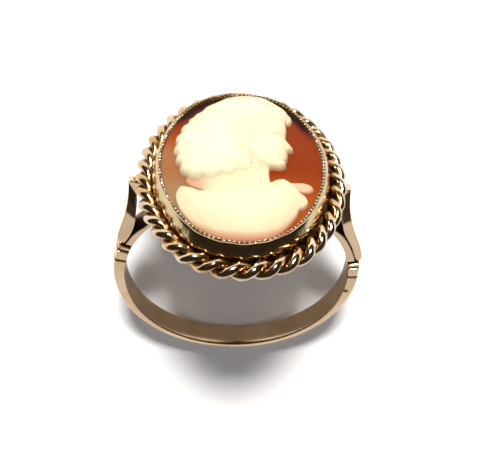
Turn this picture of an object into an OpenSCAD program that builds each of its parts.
// Cameo ring: a carved shell cameo in a smooth rub-over setting with a twisted wire border,
// on a plain band that forks into two arms at each shoulder. It is drawn about its finger
// hole, finger along Y and stone at the top, and then laid on its side on the table.

/* [Band] */
// Diameter of the finger hole
finger_d = 18.1; // [16:0.1:21]
// Width of the band along the finger
band_w = 2; // [1.6:0.1:3]
// Thickness of the band at its back
band_back_t = 0.65; // [0.5:0.05:0.9]
// Thickness of the band beside the finger
band_side_t = 0.95; // [0.9:0.05:1.4]
// Rise of the rounded outside over the edges
band_crown = 0.12; // [0.05:0.01:0.25]

/* [Collars] */
// Angle of the lower groove above the middle of the finger hole
groove_low_angle = 7.9; // [6:0.1:10]
// Angle of the upper groove, where the band forks
groove_top_angle = 16.7; // [14:0.1:20]
// Turn by which the left collar sits higher than the right one
band_turn = 5.7; // [0:0.1:6]
// Width of the lower groove
groove_low_w = 0.2; // [0.1:0.05:0.3]
// Width of the upper groove
groove_top_w = 0.45; // [0.3:0.05:0.6]
// Depth of both grooves
groove_depth = 0.14; // [0.08:0.01:0.2]

/* [Shoulders] */
// Thickness of the inner arm where the band forks
inner_arm_t = 0.58; // [0.5:0.02:0.8]
// Thickness of the inner arm where it meets the collet
inner_arm_end_t = 0.36; // [0.3:0.02:0.45]
// Angle at which the inner arm starts to thin
inner_arm_bend = 30; // [26:1:34]
// Width of the slit between the arms at the fork
slit_w = 0.08; // [0.06:0.01:0.2]
// Thickness of the outer arm at its top
outer_arm_t = 0.38; // [0.3:0.02:0.5]
// Width of the outer arm at its top, along the finger
outer_arm_top_w = 0.6; // [0.5:0.05:1.4]
// Clearance between the outer arm and the twisted border
outer_arm_gap = 0.12; // [0.05:0.01:0.3]

/* [Setting] */
// Height of the rim above the middle of the finger hole
rim_h = 11.98; // [11.8:0.02:12.6]
// Wall of the collet beside the stone
collet_wall = 0.25; // [0.2:0.01:0.3]
// Height of the collet that leans in over the stone
rub_over_h = 0.6; // [0.5:0.05:0.7]
// Lean of the rubbed-over edge
rub_over_lean = 0.11; // [0.05:0.01:0.16]
// Reach of the lip over the stone
lip_reach = 0.34; // [0.25:0.01:0.45]
// Thickness of the lip
lip_t = 0.22; // [0.15:0.01:0.3]
// Width of the ledge under the stone
ledge_w = 0.5; // [0.4:0.02:0.7]
// Thickness of the ledge at its edge
ledge_t = 0.3; // [0.2:0.02:0.4]
// Thickness of the collet below the ledge
gallery_t = 0.4; // [0.35:0.01:0.5]
// Clearance of the collet's lower edge from the finger
saddle_gap = 0.12; // [0.05:0.01:0.2]

/* [Twisted border] */
// Diameter of the twisted wire over both strands
rope_d = 1.32; // [1.1:0.02:1.4]
// Full turns of the twist once round the stone
rope_turns = 18; // [12:1:24]
// Depth of the rope's middle under the rim
rope_drop = 1.56; // [1.5:0.02:1.7]
// Thickness of the plate that carries the rope
plate_t = 0.4; // [0.35:0.01:0.5]
// Depth to which the rope is soldered into its plate
solder_depth = 0.2; // [0.15:0.01:0.25]

/* [Cameo] */
// Length of the stone, which is three quarters as wide
stone_l = 16; // [15.2:0.8:16.8]
// Thickness of the stone's edge
stone_edge_t = 1; // [0.8:0.05:1.2]
// Rise of the domed ground over its edge
dome_rise = 0.5; // [0.3:0.05:0.7]
// Greatest height of the relief over the ground
relief_h = 0.95; // [0.6:0.05:1.2]
// Height of the relief at its outline
relief_edge_h = 0.3; // [0.2:0.05:0.4]
// Gap left between pieces that sit on each other
fit_gap = 0.03; // [0.02:0.01:0.06]

/* [Hidden] */
$fn = 96;
gold = "#b99a63";
shell_orange = "#c4683a";
shell_white = "#f3e8d2";

finger_r = finger_d / 2;
far = 2.5 * stone_l;
// Sink of a piece into the one it is soldered to, and width of a small bevel
overlap = 0.2 * collet_wall;
bevel = 0.4 * collet_wall;
// The outside of the band is a circle set a little above the finger hole's.
band_r = finger_r + band_side_t;
band_lift = band_side_t - band_back_t;
crown_r = (pow(band_w / 2, 2) + pow(band_crown, 2)) / (2 * band_crown);

// The stone is an oval of four arcs: two ends and two long sides. The lines through their
// middles slope as 3 to 4, so that the arcs meet exactly.
share = stone_l / 16;
half_l = 8 * share;
half_w = 6 * share;
stone_end_r = 5 * share;
side_r = 10 * share;
end_y = 3 * share;
side_x = 4 * share;
joint_angle = atan2(end_y, side_x);

// Heights over the middle of the finger hole
lip_under = rim_h - lip_t;
ground_edge_z = lip_under - fit_gap;
seat_z = ground_edge_z - stone_edge_t;
rope_r = rope_d / 2;
rope_z = rim_h - rope_drop;
plate_top = rope_z - rope_r + solder_depth;
rope_off = collet_wall + fit_gap + rope_r;
plate_off = rope_off - bevel;
saddle_r = finger_r + saddle_gap;
gallery_in = collet_wall - gallery_t;

// Angle by which the shank leans once the ring lies on the rope's tip and the band's edge
band_edge_r = band_r - band_lift - band_crown;
tip_y = half_l + rope_off - band_w / 2;
tip_z = rope_z + band_edge_r;
lay_tilt = atan2(tip_y, tip_z) + asin(rope_r / norm([tip_y, tip_z]));
lay_lift = band_w / 2 * cos(lay_tilt) + band_edge_r * sin(lay_tilt);
rim_reach = (half_l + collet_wall - rub_over_lean) * sin(lay_tilt) + (rim_h - lip_t) * cos(lay_tilt);
back_reach = band_w / 2 * sin(lay_tilt) + band_edge_r * cos(lay_tilt);

module lay() {
    translate([0, (rim_reach - back_reach) / 2, lay_lift])
        rotate([0, 0, 180])
            rotate([lay_tilt - 90, 0, 0])
                children();
}

// A front view drawn in X and Z, made w wide along the finger
module across(w) {
    rotate([90, 0, 0])
        linear_extrude(w, center = true)
            children();
}

// A wall profile, drawn with X as the distance outside the stone's edge and Y as the height,
// carried round the oval's four arcs
module round_oval(profile) {
    reach = far / 2;
    rise = reach * end_y / side_x;
    for (turn = [0, 180])
        rotate([0, 0, turn]) {
            intersection() {
                translate([0, end_y, 0])
                    rotate_extrude() translate([stone_end_r, 0]) polygon(profile);
                linear_extrude(far)
                    polygon([[0, end_y], [reach, end_y + rise], [reach, far], [-reach, far],
                        [-reach, end_y + rise]]);
            }
            intersection() {
                translate([-side_x, 0, 0])
                    rotate([0, 0, 180])
                        rotate_extrude() translate([side_r, 0]) polygon(profile);
                linear_extrude(far)
                    polygon([[-side_x, 0], [reach - side_x, rise], [reach - side_x, -rise]]);
            }
        }
}

// The point at distance r from the middle of the finger hole, at an angle above it
function polar(r, a) = [r * cos(a), r * sin(a)];
function bezier(a, b, c, d, t) =
    pow(1 - t, 3) * a + 3 * t * pow(1 - t, 2) * b + 3 * pow(t, 2) * (1 - t) * c + pow(t, 3) * d;
function curve(a, b, c, d, steps = 12) = [for (i = [0:steps]) bezier(a, b, c, d, i / steps)];

module band() {
    difference() {
        translate([0, 0, band_lift])
            rotate([90, 0, 0])
                rotate_extrude()
                    intersection() {
                        translate([finger_r / 2, -band_w / 2]) square([finger_r, band_w]);
                        translate([band_r - crown_r, 0]) circle(crown_r);
                    }
        across(2 * band_w)
            rotate(-band_turn)
                polygon([[0, 0], polar(far, groove_top_angle), [0, far], polar(far, 180 - groove_top_angle)]);
    }
}

// A groove cut across the front, the outside and the back of the band
module groove(angle, w) {
    rotate([0, -angle, 0])
        difference() {
            translate([finger_r - band_side_t, -band_w, -w / 2]) cube([3 * band_side_t, 2 * band_w, w]);
            translate([finger_r - 2 * band_side_t, groove_depth - band_w / 2, -w])
                cube([3 * band_side_t - groove_depth - overlap, band_w - 2 * groove_depth, 2 * w]);
        }
}

// The inner arm follows the finger and thins towards the collet.
inner_end_angle = acos((half_w + collet_wall / 2) / finger_r) + 2;
function inner_top(a) =
    finger_r + inner_arm_end_t
    + (inner_arm_t - inner_arm_end_t) * (1 - pow(max(0, min(1, (a - inner_arm_bend) / 10)), 2));
module inner_arm(root) {
    across(band_w)
        polygon(concat(
            [for (i = [0:12]) let (a = root + (inner_end_angle - root) * i / 12) polar(inner_top(a), a)],
            [polar(finger_r - overlap, inner_end_angle), polar(finger_r * 0.97, (inner_end_angle + root) / 2),
                polar(finger_r - overlap, root)]));
}

// The outer arm stands up beside the rope, and its bent tip is soldered under the plate.
arm_top = [half_w + rope_off + rope_r + outer_arm_gap + outer_arm_t, rope_z - rope_r + outer_arm_gap];
slit_r = finger_r + inner_arm_t + slit_w;
module outer_arm(root) {
    tip_x = half_w + collet_wall - overlap;
    tip_z = plate_top - plate_t;
    knee = [arm_top.x - 1.65 * outer_arm_t, tip_z - plate_t / 2];
    neck = [arm_top.x - 1.1 * outer_arm_t, arm_top.y - 4 * outer_arm_t];
    fork = polar(band_r + band_lift * sin(root) + bevel, root);
    rise = arm_top.y - fork.y;
    parting = polar(slit_r, inner_arm_bend);
    intersection() {
        across(band_w)
            polygon(concat(
                curve(fork, fork + [0, 0.26 * rise], arm_top - [0, 0.48 * rise], arm_top),
                [[knee.x, tip_z + overlap], [tip_x, tip_z + overlap], [tip_x, knee.y], knee],
                curve(neck, neck - [0, 3.7 * outer_arm_t],
                    parting + polar(3.2 * outer_arm_t, inner_arm_bend + 90), parting, 8),
                [for (i = [5:-1:0]) polar(slit_r, root + (inner_arm_bend - root) * i / 6)]));
        rotate([90, 0, 90])
            linear_extrude(far, center = true)
                polygon([[-band_w / 2, 0], [band_w / 2, 0], [band_w / 2, fork.y],
                    [outer_arm_top_w / 2, arm_top.y + bevel], [-outer_arm_top_w / 2, arm_top.y + bevel],
                    [-band_w / 2, fork.y]]);
    }
}

// The lower half of the setting: a ledge that carries the stone, over a gallery that follows
// the finger
module gallery() {
    low_z = finger_r / 2;
    difference() {
        round_oval([[collet_wall, low_z], [collet_wall, seat_z - fit_gap], [-ledge_w, seat_z - fit_gap],
            [-ledge_w, seat_z - ledge_t], [gallery_in, seat_z - ledge_t - ledge_w - gallery_in],
            [gallery_in, low_z]]);
        across(1.25 * stone_l)
            polygon([for (a = [0:7.5:180]) polar(saddle_r, a)]);
    }
}

// The upper half: a thin wall beside the stone, leaned in and rubbed over its edge
module rub_over() {
    lean_x = collet_wall - rub_over_lean;
    wall_low = seat_z - ledge_t;
    lip_tip_under = lip_under + dome_rise * (1 - pow(1 - lip_reach / half_w, 2));
    round_oval([[collet_wall, wall_low], [collet_wall, rim_h - rub_over_h], [lean_x, rim_h - lip_t],
        [lean_x - bevel, rim_h - bevel / 2], [-fit_gap, rim_h], [bevel - lip_reach, rim_h],
        [-lip_reach, rim_h - bevel], [-lip_reach, lip_tip_under], [fit_gap, lip_under], [fit_gap, wall_low]]);
}

// The rope's route: arc lengths from the stone's tip round the oval, and the way out there
end_arc = (rope_off + stone_end_r) * (90 - joint_angle) * PI / 180;
side_arc = (rope_off + side_r) * 2 * joint_angle * PI / 180;
rope_len = 4 * end_arc + 2 * side_arc;
function facing(s) =
    s < end_arc ? 90 + s / (rope_off + stone_end_r) * 180 / PI
    : s < end_arc + side_arc ? 180 - joint_angle + (s - end_arc) / (rope_off + side_r) * 180 / PI
    : 180 + facing(s - rope_len / 2);
function arc_middle(a) =
    abs(sin(a)) <= sin(joint_angle) ? [(cos(a) > 0 ? -1 : 1) * side_x, 0, side_r]
    : [0, (sin(a) > 0 ? 1 : -1) * end_y, stone_end_r];
function on_oval(s, out, z) =
    let (a = facing(s), m = arc_middle(a))
    [m.x + (m.z + out) * cos(a), m.y + (m.z + out) * sin(a), z];

// The oval at a distance outside the stone's edge, as a list of points
function outline(out, steps = 72) =
    [for (i = [0:steps - 1]) let (p = on_oval(i * rope_len / steps, out, 0)) [p.x, p.y]];

// The flat ring under the rope
module border_plate() {
    translate([0, 0, plate_top - plate_t])
        linear_extrude(plate_t)
            difference() {
                polygon(outline(plate_off));
                polygon(outline(collet_wall - 2 * overlap));
            }
}

// Both strands together, cut across: two round lobes with a waist between them
strand_r = rope_r / 2;
lobe_angles = [-112, -56, 0, 56, 112];
rope_cut = concat(
    [for (a = lobe_angles) [strand_r + strand_r * cos(a), strand_r * sin(a)]], [[0, strand_r * 0.35]],
    [for (a = lobe_angles) [-strand_r - strand_r * cos(a), -strand_r * sin(a)]], [[0, -strand_r * 0.35]]);
module rope() {
    sections = rope_turns * 12;
    n = len(rope_cut);
    points = [for (i = [0:sections - 1], p = rope_cut)
        let (turn = i * 360 * rope_turns / sections - lay_tilt,
            out = p.x * cos(turn) - p.y * sin(turn), up = p.x * sin(turn) + p.y * cos(turn))
        on_oval(i * rope_len / sections, rope_off + out, rope_z + up)];
    faces = [for (i = [0:sections - 1], j = [0:n - 1])
        let (a = i * n + j, b = i * n + (j + 1) % n, c = ((i + 1) % sections) * n + (j + 1) % n,
            d = ((i + 1) % sections) * n + j)
        each [[a, b, c], [a, c, d]]];
    polyhedron(points, faces);
}

function turn_on(side) = side == 0 ? -band_turn : band_turn;
module ring_mount() {
    color(gold) lay() {
        difference() {
            union() {
                band();
                for (side = [0, 1])
                    mirror([side, 0, 0]) {
                        inner_arm(groove_top_angle - 1.5 + turn_on(side));
                        outer_arm(groove_top_angle - 1.5 + turn_on(side));
                    }
            }
            rotate([90, 0, 0]) cylinder(far, finger_r, finger_r, center = true);
            for (side = [0, 1])
                mirror([side, 0, 0]) {
                    groove(groove_low_angle + turn_on(side), groove_low_w);
                    groove(groove_top_angle + turn_on(side), groove_top_w);
                }
        }
        gallery();
        rub_over();
        border_plate();
        rope();
    }
}

// The ground's dome, as a height over the middle of the finger hole
function dome(x, y) = ground_edge_z + dome_rise * (1 - pow(x / half_w, 2) - pow(y / half_l, 2));
module cameo_ground() {
    ball_r = far;
    stretch = half_w / sqrt(pow(ball_r, 2) - pow(ball_r - dome_rise, 2));
    edge_w = half_w / 6;
    top_z = seat_z + stone_edge_t + dome_rise;
    color(shell_orange) lay()
        intersection() {
            union() {
                round_oval([[0, seat_z], [0, top_z], [-edge_w, top_z], [-edge_w, seat_z]]);
                translate([0, 0, seat_z])
                    linear_extrude(stone_edge_t + dome_rise) polygon(outline(-edge_w / 2));
            }
            translate([0, 0, ground_edge_z + dome_rise - ball_r])
                scale([stretch, stretch * half_l / half_w, 1]) sphere(ball_r, $fn = 200);
        }
}

// Half the width of the opening inside the lip, at a distance y from its middle
window_off = -lip_reach - 2 * fit_gap;
window_l = half_l + window_off;
function half_chord(y) =
    abs(y) <= end_y + (stone_end_r + window_off) * sin(joint_angle)
    ? sqrt(pow(side_r + window_off, 2) - pow(y, 2)) - side_x
    : sqrt(pow(stone_end_r + window_off, 2) - pow(abs(y) - end_y, 2));

// The lady from her dress up to her hair. Each row is a line across the relief: its place as
// a share of the opening's half length, its left and right ends as shares of the opening's
// half width there, and its height as a share of the relief's.
bust_rows = [
    // place, left, right, height
    [-0.97, -0.4, 0.7, 0.35],
    [-0.92, -0.77, 0.92, 0.5],
    [-0.855, -0.93, 0.96, 0.62],
    [-0.76, -0.94, 0.96, 0.72],
    [-0.66, -0.95, 0.94, 0.78],
    [-0.59, -0.95, 0.95, 0.8],
    [-0.53, -0.94, 0.93, 0.8],
    [-0.465, -0.93, 0.84, 0.77],
    [-0.42, -0.92, 0.93, 0.74],
    [-0.4, -0.88, 0.94, 0.72],
    [-0.38, -0.47, 0.94, 0.7],
    [-0.335, -0.54, 0.9, 0.67],
    [-0.295, -0.67, 0.66, 0.66],
    [-0.26, -0.72, 0.39, 0.66],
    [-0.21, -0.77, 0.32, 0.7],
    [-0.165, -0.81, 0.41, 0.76],
    [-0.125, -0.83, 0.5, 0.82],
    [-0.08, -0.85, 0.475, 0.86],
    [-0.04, -0.865, 0.53, 0.89],
    [-0.005, -0.875, 0.49, 0.91],
    [0.03, -0.885, 0.545, 0.93],
    [0.065, -0.895, 0.52, 0.94],
    [0.1, -0.9, 0.58, 0.95],
    [0.14, -0.905, 0.69, 0.96],
    [0.2, -0.905, 0.64, 0.98],
    [0.275, -0.9, 0.59, 1],
    [0.34, -0.9, 0.64, 1],
    [0.435, -0.89, 0.69, 0.98],
    [0.54, -0.875, 0.74, 0.94],
    [0.62, -0.87, 0.81, 0.9],
    [0.71, -0.87, 0.855, 0.84],
    [0.8, -0.85, 0.89, 0.76],
    [0.88, -0.81, 0.88, 0.66],
    [0.945, -0.75, 0.78, 0.52],
    [0.98, -0.6, 0.6, 0.4]];
module cameo_bust() {
    columns = 12;
    n = columns + 1;
    rows = len(bust_rows);
    spots = [for (row = bust_rows, i = [0:columns])
        let (y = row[0] * window_l, share = (1 - cos(180 * i / columns)) / 2,
            x = (row[1] + (row[2] - row[1]) * share) * half_chord(y), rise = sqrt(1 - pow(2 * share - 1, 2)))
        [x, y, relief_edge_h + (relief_h * row[3] - relief_edge_h) * rise]];
    top = [for (p = spots) [p.x, p.y, dome(p.x, p.y) + p.z]];
    bottom = [for (p = spots) [p.x, p.y, dome(p.x, p.y) + fit_gap]];
    count = rows * n;
    rim_walk = concat([for (i = [0:columns]) i], [for (j = [1:rows - 1]) j * n + columns],
        [for (i = [1:columns]) count - 1 - i], [for (j = [1:rows - 2]) (rows - 1 - j) * n]);
    faces = concat(
        [for (j = [0:rows - 2], i = [0:columns - 1])
            let (a = j * n + i, b = a + 1, c = a + n + 1, d = a + n)
            each [[a, c, b], [a, d, c],
                [count + a, count + b, count + c], [count + a, count + c, count + d]]],
        [for (k = [0:len(rim_walk) - 1])
            let (a = rim_walk[k], b = rim_walk[(k + 1) % len(rim_walk)])
            each [[a, b, count + b], [a, count + b, count + a]]]);
    color(shell_white) lay() polyhedron(concat(top, bottom), faces);
}

ring_mount();
cameo_ground();
cameo_bust();
